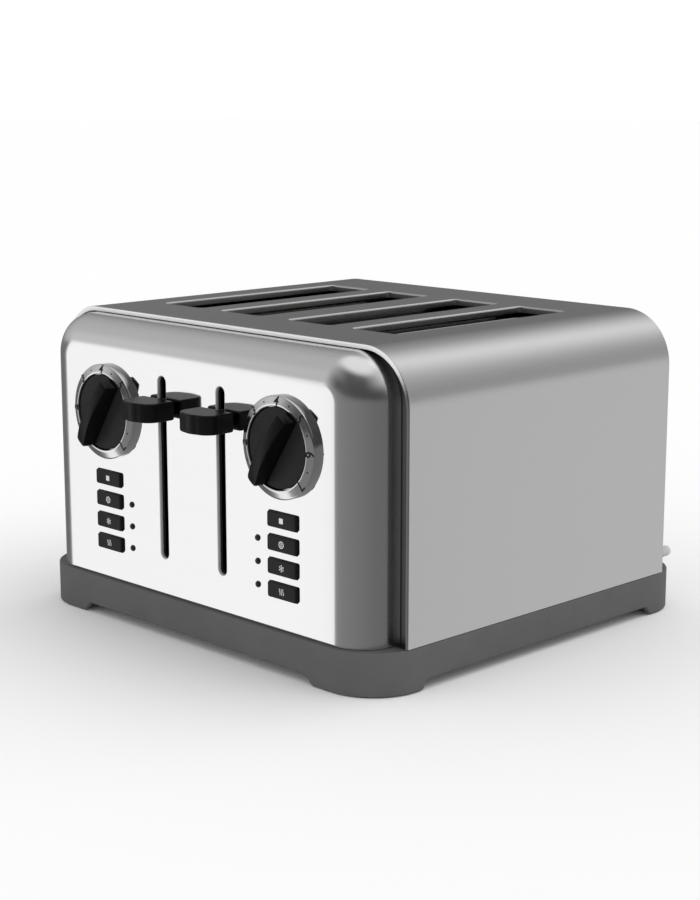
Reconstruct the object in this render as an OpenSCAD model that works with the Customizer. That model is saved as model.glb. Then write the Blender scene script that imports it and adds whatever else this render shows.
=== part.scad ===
// Four-slice pop-up toaster, split into the pieces it comes apart into.
// Origin: centre of the footprint, on the surface the toaster stands on.
// +X to the right seen from the front, -Y is the front, +Z up.

/* [Body] */
// Width over the steel wrap
body_w = 296; // [294:1:300]
// Depth of the steel wrap, hem to hem
wrap_d = 226; // [224:1:228]
// Height of the top face above the table
top_z = 184.4; // [184:0.2:188]
// Corner radius of the wrap seen from the front
wrap_r = 32; // [28:1:36]
// Thickness of the steel wrap
wrap_t = 0.8; // [0.6:0.1:1.0]

/* [Front and rear panels] */
// Half depth, centre to the flat face of a panel
panel_y = 135.3; // [134.5:0.1:136]
// Half width of the flat part of a panel
panel_flat_x = 115.8; // [113:0.1:117]
// Radius of the rounded vertical edges
panel_side_r = 22; // [20:0.5:25]
// Radius of the rounded top edge
panel_top_r = 18; // [17:0.5:19]
// Panel sheet thickness
panel_t = 1.0; // [0.8:0.1:1.2]

/* [Base] */
// Height of the plastic base
base_h = 24.7; // [24.5:0.1:25]
// Width of the base
base_w = 297; // [296:1:302]
// Depth of the base
base_d = 276.6; // [275:0.1:280]
// Corner radius of the base in plan
base_r = 32.5; // [30:0.5:36]
// Rise of the gaps between the feet
foot_rise = 5.9; // [4:0.1:7]
// Height of the recessed ledge the shells stand on, above the base
ledge_h = 0.35; // [0.3:0.05:1.2]

/* [Bread slots] */
// Length of each bread slot
slot_l = 144.6; // [140:0.2:150]
// Width of each bread slot
slot_w = 35.6; // [34:0.2:37]
// Centre of the inner slots from the middle
slot_in_x = 29.6; // [29:0.1:30]
// Centre of the outer slots from the middle
slot_out_x = 82.4; // [82:0.1:83]

/* [Levers] */
// Distance of a lever slot from the middle
lever_x = 25.6; // [25:0.1:26]
// Centre height of a lever knob at rest
lever_z = 136; // [135:0.5:137]
// Width of the lever slot
lever_slot_w = 6.8; // [6:0.2:8]

/* [Dials] */
// Distance of a dial from the middle
dial_x = 76.5; // [75:0.5:78]
// Height of a dial
dial_z = 127.3; // [126:0.1:128]
// Outer radius of the chrome ring
bezel_r = 28.4; // [27:0.2:29]
// Angle of the grip, clockwise from straight up
dial_angle = 33; // [0:1:45]

/* [Buttons] */
// Height of the lowest button
button_z = 47.2; // [47:0.1:48]
// Pitch between buttons
button_pitch = 13.2; // [13:0.1:13.4]
// Width of a button
button_w = 23; // [21:0.5:24]
// Height of a button
button_h = 8.9; // [8:0.1:9.2]

/* [Hidden] */
$fn = 72;

hw = body_w / 2;
wy = wrap_d / 2;
bx = base_w / 2;
by = base_d / 2;
shell_z = base_h + ledge_h;      // lower edge of wrap and panels
panel_back = 108;                // back edge of a panel, inside the wrap
side_cy = panel_y - panel_side_r;
panel_top_c = 163.4;             // height of the centre of the top rounding
top_cy = panel_y - panel_top_r;
foot_gap = 0.5;                  // plastic feet stop this far above the table
post_x = 114; post_y = 110;      // chassis posts in the feet
pad_x = 129; pad_y = 118;        // rubber pads
lug_x = 132; lug_y = 60;         // lugs that hold the bottom plate
cf_z = base_h - 0.8;             // underside of the chassis floor
ct_z = 176;                      // underside of the chassis top
cp_y = 84;                       // inner face of the chassis end plates
sh_x = 114;                      // side shields
heater_x = [6.5, 56, 105.5];
rod_x = 48; rod_y = -104; rod_r = 2.5;
spring_x = 34.5; spring_y = -106;
guide_off = 15.6;                // guides from a slot's centre
guide_z = 40;                    // pivot height of the guides
guide_top = 177.2;
led_x = 55.7;
led_z = [47.4, 60.6, 73.8];
gland_x = 127; gland_z = 28.7;
shift_y = 6.2;                   // brings the middle of the whole object to Y = 0

steel = [0.80, 0.80, 0.81];
bright = [0.92, 0.92, 0.92];
inner_steel = [0.55, 0.55, 0.56];
black = [0.09, 0.09, 0.10];
basegrey = [0.36, 0.36, 0.37];

// ---------- shared shapes ----------
module rrect(w, d, r) {
  square([w - 2 * r, d], center = true);
  square([w, d - 2 * r], center = true);
  for (sx = [-1, 1], sy = [-1, 1]) translate([sx * (w / 2 - r), sy * (d / 2 - r)]) circle(r = r);
}
// arch outline: square at the bottom, rounded at the top
module arch(h, z0, z1, r) {
  translate([-h, z0]) square([2 * h, z1 - r - z0]);
  translate([-(h - r), z0]) square([2 * (h - r), z1 - z0]);
  for (s = [-1, 1]) translate([s * (h - r), z1 - r]) circle(r = r);
}
module stadium(w, z0, z1) {
  translate([-w / 2, z0 + w / 2]) square([w, z1 - z0 - w]);
  for (z = [z0 + w / 2, z1 - w / 2]) translate([0, z]) circle(d = w);
}
// extrude an XZ outline from y0 to y1
module along_y(y0, y1) { translate([0, y1, 0]) rotate([90, 0, 0]) linear_extrude(y1 - y0) children(); }
module rod_y(x, z, y0, y1, r) { translate([x, y0, z]) rotate([-90, 0, 0]) cylinder(r = r, h = y1 - y0); }
module block(x0, x1, y0, y1, z0, z1) { translate([x0, y0, z0]) cube([x1 - x0, y1 - y0, z1 - z0]); }
// all the pieces are drawn about the middle of the body, then moved to the origin
module placed() { translate([0, shift_y, 0]) children(); }
module both_sides() { children(); mirror([1, 0, 0]) children(); }
module side(s) { if (s > 0) children(); else mirror([1, 0, 0]) children(); }

// ---------- base ----------
module base_skirt() placed() color(basegrey) difference() {
  union() {
    translate([0, 0, foot_gap]) linear_extrude(base_h - foot_gap) difference() {
      rrect(2 * bx, 2 * by, base_r);
      rrect(2 * bx - 6, 2 * by - 6, base_r - 3);
    }
    translate([0, 0, base_h - 2.5]) linear_extrude(2.5) difference() {
      rrect(2 * bx - 1, 2 * by - 1, base_r - 0.5);
      rrect(2 * bx - 30, 2 * by - 30, base_r - 15);
    }
    // recessed ledge under the shells
    translate([0, 0, base_h - 0.1]) linear_extrude(ledge_h + 0.1) difference() {
      union() {
        square([2 * (hw - 0.6), 2 * (wy - 1)], center = true);
        rrect(2 * (panel_flat_x + panel_side_r - 1.8), 2 * (panel_y - 0.7), panel_side_r - 1.5);
      }
      rrect(2 * bx - 30, 2 * by - 30, base_r - 15);
    }
    for (sx = [-1, 1], sy = [-1, 1]) {
      intersection() {
        translate([0, 0, foot_gap]) linear_extrude(3.5) rrect(2 * bx - 1, 2 * by - 1, base_r - 0.5);
        translate([sx > 0 ? 103 : -153, sy > 0 ? 103 : -153, -1]) cube([50, 50, 8]);
      }
      translate([sx * post_x, sy * post_y, foot_gap + 1]) cylinder(r = 5, h = cf_z - foot_gap - 1);
      translate([sx > 0 ? 125 : -bx + 2, sy * lug_y - 7, 9.2]) cube([bx - 127, 14, 4]);
    }
  }
  // gaps between the feet
  along_y(-by - 1, by + 1) polygon([[-102.5, -1], [-96.6, foot_rise], [96.6, foot_rise], [102.5, -1]]);
  rotate([0, 0, 90]) along_y(-bx - 1, bx + 1) polygon([[-102.7, -1], [-96.9, foot_rise], [96.9, foot_rise], [102.7, -1]]);
  // crumb tray mouth
  block(-107, 107, by - 10, by + 1, 9.2, 21.4);
  for (sx = [-1, 1], sy = [-1, 1]) {
    translate([sx * post_x, sy * post_y, -1]) cylinder(r = 1.6, h = 40);
    translate([sx * post_x, sy * post_y, -1]) cylinder(r = 3.6, h = 3.5);
    translate([sx * pad_x, sy * pad_y, -1]) cylinder(r = 7.3, h = 2.7);
    translate([sx * pad_x, sy * pad_y, 0]) cylinder(r = 3.1, h = 6);
    translate([sx * lug_x, sy * lug_y, 8]) cylinder(r = 1.35, h = 6);
  }
}
module rubber_feet() placed() color(black) for (sx = [-1, 1], sy = [-1, 1]) translate([sx * pad_x, sy * pad_y, 0])
  rotate_extrude() polygon([[0, 0], [6.4, 0], [7, 0.6], [7, 1.6], [3, 1.6], [3, 4.1], [3.7, 4.3], [2.4, 6], [0, 6]]);
module bottom_plate() placed() color(inner_steel) difference() {
  translate([0, 0, 8.4]) linear_extrude(0.8) rrect(2 * bx - 10, 2 * by - 10, base_r - 5);
  for (sx = [-1, 1], sy = [-1, 1]) {
    translate([sx * post_x, sy * post_y, 0]) cylinder(r = 5.6, h = 20);
    translate([sx * lug_x, sy * lug_y, 0]) cylinder(r = 1.7, h = 20);
  }
  for (i = [-3:3], j = [-3:3]) translate([i * 30, j * 26, 8]) linear_extrude(2) rrect(20, 3, 1.4);
}
module crumb_tray() placed() color(steel) {
  difference() {
    block(-104, 104, -96, 135.5, 9.5, 18.5);
    block(-103.2, 103.2, -95.2, 134.7, 10.3, 20);
  }
  difference() {
    block(-106.4, 106.4, 135.5, 139, 9.7, 20.9);
    block(-30, 30, 137.2, 140, 9, 17);
  }
}
module screws() placed() color([0.7, 0.7, 0.72]) for (sx = [-1, 1], sy = [-1, 1]) {
  translate([sx * post_x, sy * post_y, 0]) difference() {
    rotate_extrude() polygon([[0, 0.8], [2.4, 0.8], [3.2, 1.4], [3.2, 2.5], [1.5, 2.5], [1.5, 26], [0.6, 28], [0, 28]]);
    translate([-1.8, -0.35, 0]) cube([3.6, 0.7, 1.5]);
    translate([-0.35, -1.8, 0]) cube([0.7, 3.6, 1.5]);
  }
  translate([sx * lug_x, sy * lug_y, 0]) difference() {
    rotate_extrude() polygon([[0, 6.6], [2.2, 6.6], [3, 7.2], [3, 8.4], [1.3, 8.4], [1.3, 13], [0.5, 14.5], [0, 14.5]]);
    translate([-1.6, -0.3, 6]) cube([3.2, 0.6, 1.2]);
    translate([-0.3, -1.6, 6]) cube([0.6, 3.2, 1.2]);
  }
}

// ---------- chassis ----------
module chassis_floor() placed() color(inner_steel) difference() {
  translate([0, 0, cf_z]) linear_extrude(0.8) rrect(256, 234, 16);
  for (s = [-1, 1]) translate([s * 56, 0, cf_z - 1]) linear_extrude(3) rrect(98, 156, 4);
  for (sx = [-1, 1], sy = [-1, 1]) translate([sx * post_x, sy * post_y, 0]) cylinder(r = 1.55, h = 40);
}
module chassis_top() placed() color(inner_steel) difference() {
  // the ends are narrower, to clear the corners of the trims
  translate([0, 0, ct_z]) linear_extrude(0.8) union() {
    square([246, 211], center = true);
    square([218, 217.2], center = true);
  }
  for (x = [-slot_out_x, -slot_in_x, slot_in_x, slot_out_x])
    translate([x - 20.5, -78, ct_z - 1]) cube([41, 156, 3]);
}
module end_plate() difference() {
  union() {
    block(-120, 120, -cp_y - 0.8, -cp_y, base_h, ct_z);
    block(-120, 120, -cp_y - 9, -cp_y, base_h, base_h + 0.8);
    block(-120, 120, -cp_y - 9, -cp_y, ct_z - 0.8, ct_z);
  }
  for (x = [-slot_out_x, -slot_in_x, slot_in_x, slot_out_x]) {
    translate([x, 0, 0]) along_y(-cp_y - 3, -cp_y + 1) stadium(3.6, 34, 138);
    for (s = [-1, 1]) rod_y(x + s * guide_off, guide_z, -cp_y - 3, -cp_y + 1, 1.3);
  }
}
module chassis_front_plate() placed() color(inner_steel) end_plate();
module chassis_rear_plate() placed() color(inner_steel) mirror([0, 1, 0]) end_plate();
module side_shields() placed() color(inner_steel) both_sides() block(sh_x, sh_x + 0.6, -cp_y + 0.1, cp_y - 0.1, base_h, ct_z);
module centre_divider() placed() color(inner_steel) block(-0.4, 0.4, -cp_y + 0.1, cp_y - 0.1, base_h, ct_z);

// ---------- heaters ----------
module heater_boards() placed() color([0.78, 0.72, 0.58]) both_sides() for (x = heater_x) {
  block(x - 0.5, x + 0.5, -79, 79, 32, 172);
  block(x - 0.5, x + 0.5, -cp_y + 0.2, cp_y - 0.2, 32, 44);
  block(x - 0.5, x + 0.5, -cp_y + 0.2, cp_y - 0.2, 163, 172);
}
module heater_windings() placed() color([0.6, 0.45, 0.35]) both_sides() for (x = heater_x, i = [0:8])
  translate([x, 0, 50 + 13 * i]) linear_extrude(1.6) difference() {
    square([1.9, 159.2], center = true);
    square([1.2, 158.4], center = true);
  }

// ---------- bread guides ----------
module bread_guide(x) placed() color([0.72, 0.72, 0.72]) {
  rod_y(x, guide_z, -86.5, 86.5, 1.25);
  rod_y(x, guide_top, -73, 73, 0.9);
  for (i = [-6:6]) translate([x, i * 12, guide_z]) cylinder(r = 0.9, h = guide_top - guide_z);
}
module bread_guide_left_1() bread_guide(-slot_out_x - guide_off);
module bread_guide_left_2() bread_guide(-slot_out_x + guide_off);
module bread_guide_left_3() bread_guide(-slot_in_x - guide_off);
module bread_guide_left_4() bread_guide(-slot_in_x + guide_off);
module bread_guide_right_1() bread_guide(slot_in_x - guide_off);
module bread_guide_right_2() bread_guide(slot_in_x + guide_off);
module bread_guide_right_3() bread_guide(slot_out_x - guide_off);
module bread_guide_right_4() bread_guide(slot_out_x + guide_off);

// ---------- outer shell ----------
module slots2d() for (x = [-slot_out_x, -slot_in_x, slot_in_x, slot_out_x]) translate([x, 0]) children();
module shell_wrap() placed() color(steel) difference() {
  union() {
    along_y(-wy, wy) difference() {
      arch(hw, shell_z, top_z, wrap_r);
      arch(hw - wrap_t, shell_z - 1, top_z - wrap_t, wrap_r - wrap_t);
    }
    // turned-in hems
    for (y = [-wy, wy - 2]) along_y(y, y + 2) difference() {
      arch(hw - 0.3, shell_z, top_z - 0.3, wrap_r - 0.3);
      arch(hw - 1.9, shell_z - 1, top_z - 2.7, wrap_r - 1.9);
    }
    // turned-down lips of the slots
    translate([0, 0, top_z - 4]) linear_extrude(3.8) slots2d() rrect(slot_w + 1.6, slot_l + 1.6, 3.8);
  }
  translate([0, 0, top_z - 6]) linear_extrude(8) slots2d() rrect(slot_w, slot_l, 3);
}

// rounded panel body: flat face, rounded sides and top, open at the bottom
module panel_solid(d) hull() for (i = [0:10]) let (
    y = panel_y - d - (i / 10) * (i / 10) * (panel_y - d - panel_back + (d > 0 ? 2 : 0)),
    ws = panel_side_r - d, ts = panel_top_r - d,
    w = panel_flat_x + sqrt(max(0, ws * ws - pow(max(0, y - side_cy), 2))),
    t = panel_top_c + sqrt(max(0, ts * ts - pow(max(0, y - top_cy), 2))),
    r = max(3, 8 + 19 * (w - panel_flat_x) / panel_side_r - d * 0.5))
  along_y(-y, -y + 0.02) arch(w, shell_z - d, t, r, $fn = 48);
module panel_blank() difference() {
  panel_solid(0);
  panel_solid(panel_t);
  block(-200, 200, -200, 200, shell_z - 20, shell_z);
}
module front_panel() placed() color(bright) difference() {
  union() {
    panel_blank();
    both_sides() translate([lever_x, 0, 0]) along_y(-panel_y + 0.5, -panel_y + 3.4) stadium(lever_slot_w + 1.6, 45.9, 154.6);
    both_sides() for (x = [52, 104], z = [38, 146]) rod_y(x, z, -panel_y + 0.5, -121.6, 1.5);
  }
  both_sides() {
    translate([lever_x, 0, 0]) along_y(-panel_y - 2, -panel_y + 6) stadium(lever_slot_w, 46.7, 153.8);
    rod_y(dial_x, dial_z, -panel_y - 2, -panel_y + 3, 5);
    for (i = [0:3]) translate([dial_x, 0, button_z + i * button_pitch]) along_y(-panel_y - 2, -panel_y + 3) rrect(button_w + 0.6, button_h + 0.6, 1.1);
    for (z = led_z) rod_y(led_x, z, -panel_y - 2, -panel_y + 3, 1.95);
  }
}
module rear_panel() placed() color(bright) difference() {
  mirror([0, 1, 0]) panel_blank();
  // notch that drops over the cord bush
  rod_y(gland_x, gland_z, 120, 150, 3.3);
  block(gland_x - 3.3, gland_x + 3.3, 120, 150, shell_z - 1, gland_z);
}
// strip behind the edge of a panel, closing the gap to the wrap
module trim() along_y(-107.2, -106) difference() {
  arch(hw - 1, shell_z, top_z - 1, wrap_r - 1);
  arch(134, shell_z - 1, 177.6, 24);
}
module front_trim() placed() color(bright) trim();
module rear_trim() placed() color(bright) mirror([0, 1, 0]) trim();

// ---------- dials ----------
module dial_bezel() translate([dial_x, -panel_y, dial_z]) rotate([90, 0, 0]) rotate_extrude()
  polygon([[22.8, 0], [22.8, 4.4], [23.4, 5], [24.2, 4.9], [27.6, 3.6], [28.1, 3.2], [bezel_r, 2.6], [bezel_r, 0]]);
module dial_bezel_right() placed() color(bright) dial_bezel();
module dial_bezel_left() placed() color(bright) mirror([1, 0, 0]) dial_bezel();
// disc with a bowed grip bar across it
module dial_knob_at(x) translate([x, -panel_y - 0.7, dial_z]) rotate([90, 0, 0]) rotate([0, 0, -dial_angle]) difference() {
  union() {
    rotate_extrude() polygon([[0, 0], [22.3, 0], [22.3, 3.0], [21.8, 3.5], [0, 3.5]]);
    hull() {
      for (y = [-17, -9, 0, 9, 16]) translate([0, y, 3]) cylinder(r1 = 4, r2 = 2.9, h = 11.4 - 0.009 * y * y, $fn = 32);
      translate([-2.2, 20.5, 3]) cylinder(r = 0.8, h = 7.6, $fn = 16);
      translate([2.2, 18, 3]) cylinder(r = 0.8, h = 8.2, $fn = 16);
    }
  }
  translate([0, 0, -1]) cylinder(r = 3.02, h = 10);
}
module dial_knob_left() placed() color(black) dial_knob_at(-dial_x);
module dial_knob_right() placed() color(black) dial_knob_at(dial_x);
module dial_shaft() rod_y(dial_x, dial_z, -144.5, -125, 3);
module dial_shaft_right() placed() color([0.75, 0.75, 0.75]) dial_shaft();
module dial_shaft_left() placed() color([0.75, 0.75, 0.75]) mirror([1, 0, 0]) dial_shaft();
module potentiometers() placed() color([0.3, 0.3, 0.32]) both_sides() difference() {
  union() {
    block(dial_x - 9, dial_x + 9, -129.4, -121.6, dial_z - 10, dial_z + 9);
    rod_y(dial_x, dial_z, -132.5, -129, 4.2);
  }
  rod_y(dial_x, dial_z, -134, -124.6, 3.05);
}

// ---------- buttons and lamps ----------
module button(s, i) translate([s * dial_x, 0, button_z + i * button_pitch]) {
  along_y(-panel_y - 1.7, -panel_y + 1.8) rrect(button_w, button_h, 0.9);
  along_y(-panel_y + 1.4, -panel_y + 2.4) rrect(button_w + 3, 11.4, 1);
  rod_y(0, 0, -panel_y + 2.3, -126.6, 2);
}
module stop_button_left() placed() color(black) button(-1, 3);
module bagel_button_left() placed() color(black) button(-1, 2);
module defrost_button_left() placed() color(black) button(-1, 1);
module reheat_button_left() placed() color(black) button(-1, 0);
module stop_button_right() placed() color(black) button(1, 3);
module bagel_button_right() placed() color(black) button(1, 2);
module defrost_button_right() placed() color(black) button(1, 1);
module reheat_button_right() placed() color(black) button(1, 0);
module led_lenses() placed() color([0.15, 0.15, 0.16]) both_sides() for (z = led_z) translate([led_x, -121.6, z]) rotate([90, 0, 0])
  rotate_extrude() polygon([[0, 0], [1.8, 0], [1.8, panel_y - 121.6 + 0.3], [1.5, panel_y - 121.6 + 0.8], [0.8, panel_y - 121.6 + 1.15], [0, panel_y - 121.6 + 1.25]]);
module board() difference() {
  block(49, 107, -121.6, -120, 34, 150);
}
module control_board_right() placed() color([0.1, 0.35, 0.2]) board();
module control_board_left() placed() color([0.1, 0.35, 0.2]) mirror([1, 0, 0]) board();
module tact_switches() placed() color([0.15, 0.15, 0.15]) both_sides() for (i = [0:3]) translate([0, 0, button_z + i * button_pitch]) {
  block(dial_x - 3.1, dial_x + 3.1, -124.2, -121.6, -3.1, 3.1);
  rod_y(dial_x, 0, -125.1, -124.1, 1.7);
}

// ---------- carriages ----------
module lever_knob_at(x) translate([x, 0, lever_z - 5.5]) difference() {
  union() {
    linear_extrude(11) {
      translate([0, -147.7]) square([27.8 - 17, 20.6], center = true);
      translate([0, -147.05]) square([27.8, 2.3], center = true);
      for (s = [-1, 1]) {
        translate([s * (13.9 - 8.5), -149.4]) circle(r = 8.5);
        translate([s * (13.9 - 8.5), -145.9]) circle(r = 8.5);
      }
      intersection() {
        translate([0, -158 + 60]) circle(r = 60.4);
        translate([0, -156]) square([10.8, 6], center = true);
      }
    }
  }
  translate([-1.55, -151, 0.45]) cube([3.1, 30, 10.1]);
}
module lever_knob_right() placed() color(black) lever_knob_at(lever_x);
module lever_knob_left() placed() color(black) lever_knob_at(-lever_x);
module carriage() difference() {
  union() {
    block(lever_x - 1.5, lever_x + 1.5, -150.5, -97, lever_z - 5, lever_z + 5);
    block(20, 92, -98, -96.4, 108, 134);
    block(20, 34, -98, -96.4, 108, 142);
    translate([rod_x, rod_y, 108]) cylinder(r = 5.2, h = 34);
    block(rod_x - 2.5, rod_x + 2.5, rod_y, -97, 108, 142);
    block(56, 78, -116, -97, 116, 118);
    block(spring_x - 3.5, spring_x + 3.5, -110.5, -97, 126, 128);
  }
  translate([rod_x, rod_y, 100]) cylinder(r = rod_r + 0.05, h = 60);
}
module carriage_right() placed() color(inner_steel) carriage();
module carriage_left() placed() color(inner_steel) mirror([1, 0, 0]) carriage();
module racks() for (x = [slot_in_x, slot_out_x]) {
  block(x - 0.6, x + 0.6, -96.4, 88, 118, 126);
  for (i = [-4:4]) translate([x - 12, i * 17, 126]) rotate([0, 90, 0]) cylinder(r = 0.9, h = 24);
}
module bread_racks_right() placed() color([0.72, 0.72, 0.72]) racks();
module bread_racks_left() placed() color([0.72, 0.72, 0.72]) mirror([1, 0, 0]) racks();
module keeper() block(59, 75, -115, -103, 114, 116);
module keeper_right() placed() color([0.6, 0.6, 0.62]) keeper();
module keeper_left() placed() color([0.6, 0.6, 0.62]) mirror([1, 0, 0]) keeper();
module electromagnet() {
  // E-shaped core
  block(57, 77, -115, -103, base_h, base_h + 2.6);
  for (x = [57, 65.5, 74.5]) block(x, x + (x == 65.5 ? 3 : 2.5), -115, -103, base_h, 33.6);
  // winding
  difference() {
    block(61.5, 72.5, -118, -100, base_h + 2.8, 32.8);
    block(65.4, 68.6, -115.1, -102.9, base_h, 40);
  }
}
module electromagnet_right() placed() color([0.65, 0.4, 0.2]) electromagnet();
module electromagnet_left() placed() color([0.65, 0.4, 0.2]) mirror([1, 0, 0]) electromagnet();
module guide_rods() placed() color([0.8, 0.8, 0.8]) both_sides() translate([rod_x, rod_y, base_h]) cylinder(r = rod_r, h = ct_z - base_h);

// close-wound lift spring, one swept tube
spring_turns = 13; spring_n = 12; spring_m = 6;
spring_R = 3.6; spring_wire = 0.5;
module lift_spring() translate([spring_x, spring_y, 129]) let (
    n = spring_turns * spring_n, H = ct_z - 1 - 129,
    pts = [for (i = [0:n], k = [0:spring_m - 1]) let (a = 360 * i / spring_n, b = 360 * k / spring_m, rr = spring_R + spring_wire * cos(b))
           [rr * cos(a), rr * sin(a), H * i / n + spring_wire * sin(b)]],
    quads = [for (i = [0:n - 1], k = [0:spring_m - 1]) let (a = i * spring_m + k, b = i * spring_m + (k + 1) % spring_m)
             [a, b, b + spring_m, a + spring_m]])
  polyhedron(points = pts, faces = concat([[for (k = [spring_m - 1:-1:0]) k]], quads, [[for (k = [0:spring_m - 1]) n * spring_m + k]]), convexity = 10);
module lift_spring_right() placed() color([0.75, 0.75, 0.75]) lift_spring();
module lift_spring_left() placed() color([0.75, 0.75, 0.75]) mirror([1, 0, 0]) lift_spring();

// ---------- mains inlet ----------
module cord_gland() placed() color([0.85, 0.85, 0.85]) translate([gland_x, 0, gland_z]) difference() {
  union() {
    translate([0, 125.3, 0]) rotate([-90, 0, 0]) cylinder(r = 3.2, h = 10);
    translate([0, 134.9, 0]) rotate([-90, 0, 0]) rotate_extrude() polygon([[0, 0], [3.9, 0], [3.9, 1.3], [3.5, 2.3], [3.2, 10.6], [2.9, 11.1], [0, 11.1]]);
    intersection() {
      translate([0, 125.3, 0]) rotate([-90, 0, 0]) cylinder(r = 4.6, h = 2);
      block(-5, 5, 120, 130, -3.1, 5);
    }
  }
  rod_y(0, 0, 120, 150, 2.4);
}
module terminal_block() placed() color([0.85, 0.83, 0.78]) difference() {
  block(84, 112, 98, 110, base_h, 37);
  for (i = [0:2]) rod_y(89 + i * 9, 31, 97, 111, 1.8);
}

base_skirt();
bottom_plate();
rubber_feet();
chassis_floor();
chassis_top();
chassis_front_plate();
chassis_rear_plate();
side_shields();
centre_divider();
shell_wrap();
front_panel();
rear_panel();
front_trim();
rear_trim();
dial_bezel_left();
dial_bezel_right();
dial_knob_left();
dial_knob_right();
dial_shaft_left();
dial_shaft_right();
potentiometers();
stop_button_left();
bagel_button_left();
defrost_button_left();
reheat_button_left();
stop_button_right();
bagel_button_right();
defrost_button_right();
reheat_button_right();
led_lenses();
control_board_left();
control_board_right();
tact_switches();
lever_knob_left();
lever_knob_right();
carriage_left();
carriage_right();
bread_racks_left();
bread_racks_right();
keeper_left();
keeper_right();
electromagnet_left();
electromagnet_right();
guide_rods();
lift_spring_left();
lift_spring_right();
heater_boards();
heater_windings();
bread_guide_left_1();
bread_guide_left_2();
bread_guide_left_3();
bread_guide_left_4();
bread_guide_right_1();
bread_guide_right_2();
bread_guide_right_3();
bread_guide_right_4();
crumb_tray();
cord_gland();
terminal_block();
screws();
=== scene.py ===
import math
import bpy
import bmesh
import numpy as np
from mathutils import Matrix, Vector


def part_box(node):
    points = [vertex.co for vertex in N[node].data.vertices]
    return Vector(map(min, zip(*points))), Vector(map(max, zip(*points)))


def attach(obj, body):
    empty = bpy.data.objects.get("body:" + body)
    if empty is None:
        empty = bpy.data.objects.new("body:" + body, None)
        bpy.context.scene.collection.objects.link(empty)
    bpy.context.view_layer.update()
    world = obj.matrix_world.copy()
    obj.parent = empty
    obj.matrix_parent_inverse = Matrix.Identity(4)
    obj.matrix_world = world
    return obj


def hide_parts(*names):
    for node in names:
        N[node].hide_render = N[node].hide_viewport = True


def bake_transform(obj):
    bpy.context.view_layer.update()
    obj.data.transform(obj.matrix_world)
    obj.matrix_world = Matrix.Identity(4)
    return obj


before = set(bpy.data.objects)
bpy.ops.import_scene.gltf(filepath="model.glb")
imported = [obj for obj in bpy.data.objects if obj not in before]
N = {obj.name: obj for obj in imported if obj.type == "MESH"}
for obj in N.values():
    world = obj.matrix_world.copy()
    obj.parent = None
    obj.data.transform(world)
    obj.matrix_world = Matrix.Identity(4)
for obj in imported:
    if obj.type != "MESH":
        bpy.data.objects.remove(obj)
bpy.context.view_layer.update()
scene = bpy.context.scene
scene.view_settings.view_transform = "Standard"
scene.view_settings.look = "None"
MM = 0.001
sw_lo, sw_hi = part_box("shell_wrap")
YC = (sw_lo[1] + sw_hi[1]) / 2 * 1000      # the body is drawn about its own middle, this far along Y

# ------------------------------------------------------------------ camera
cam_data = bpy.data.cameras.new("camera")
cam = bpy.data.objects.new("camera", cam_data)
scene.collection.objects.link(cam)
cam.location = (0.786767, -0.783747 + YC * MM, 0.319453)
aim = Vector((-0.009728, YC * MM, 0.094204)) - Vector(cam.location)
cam.rotation_euler = aim.to_track_quat("-Z", "Y").to_euler()
cam_data.sensor_width = 36
cam_data.lens = 73.37
cam_data.clip_start = 0.01
cam_data.clip_end = 50
scene.camera = cam


# ------------------------------------------------------------------ mesh helpers (all sizes in mm)
def make(name, verts, faces, mat, angle=35, weighted=False, bevel=0.0, segs=3):
    me = bpy.data.meshes.new(name)
    me.from_pydata([(float(v[0]) * MM, (float(v[1]) + YC) * MM, float(v[2]) * MM) for v in verts], [], [list(map(int, f)) for f in faces])
    me.validate()
    ob = bpy.data.objects.new(name, me)
    scene.collection.objects.link(ob)
    bm = bmesh.new()
    bm.from_mesh(me)
    bmesh.ops.remove_doubles(bm, verts=bm.verts, dist=1e-7)
    bmesh.ops.recalc_face_normals(bm, faces=bm.faces)
    bm.to_mesh(me)
    bm.free()
    finish_mesh(ob, mat, angle, weighted, bevel, segs)
    return ob


def finish_mesh(ob, mat, angle=35, weighted=False, bevel=0.0, segs=3):
    me = ob.data
    if mat is not None:
        me.materials.clear()
        me.materials.append(mat)
    if bevel:
        m = ob.modifiers.new("bevel", "BEVEL")
        m.width = bevel * MM
        m.segments = segs
        m.limit_method = "ANGLE"
        m.angle_limit = math.radians(30)
        m.harden_normals = True
    me.shade_smooth()
    me.set_sharp_from_angle(angle=math.radians(angle))
    if weighted:
        m = ob.modifiers.new("weighted", "WEIGHTED_NORMAL")
        m.mode = "FACE_AREA"
        m.weight = 60
        m.keep_sharp = True
    return ob


def loft(rings, closed=True, cap0=True, cap1=True):
    """rings of equal length -> verts, faces"""
    n = len(rings[0])
    verts = [p for r in rings for p in r]
    faces = []
    for i in range(len(rings) - 1):
        for k in range(n if closed else n - 1):
            a, b = i * n + k, i * n + (k + 1) % n
            faces.append((a, b, b + n, a + n))
    if cap0:
        faces.append(tuple(range(n - 1, -1, -1)))
    if cap1:
        faces.append(tuple((len(rings) - 1) * n + k for k in range(n)))
    return verts, faces


def join(parts):
    verts, faces = [], []
    for v, f in parts:
        o = len(verts)
        verts += list(v)
        faces += [tuple(i + o for i in q) for q in f]
    return verts, faces


def lathe(profile, at=(0, 0, 0), axis="-Y", seg=96):
    """profile of (radius, height); height runs along axis"""
    rings = []
    for r, h in profile:
        ring = []
        for k in range(seg):
            a = 2 * math.pi * k / seg
            u, w = max(r, 1e-5) * math.cos(a), max(r, 1e-5) * math.sin(a)
            if axis == "-Y":
                ring.append((at[0] + u, at[1] - h, at[2] + w))
            elif axis == "+Y":
                ring.append((at[0] + u, at[1] + h, at[2] + w))
            else:
                ring.append((at[0] + u, at[1] + w, at[2] + h))
        rings.append(ring)
    return loft(rings)


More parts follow.
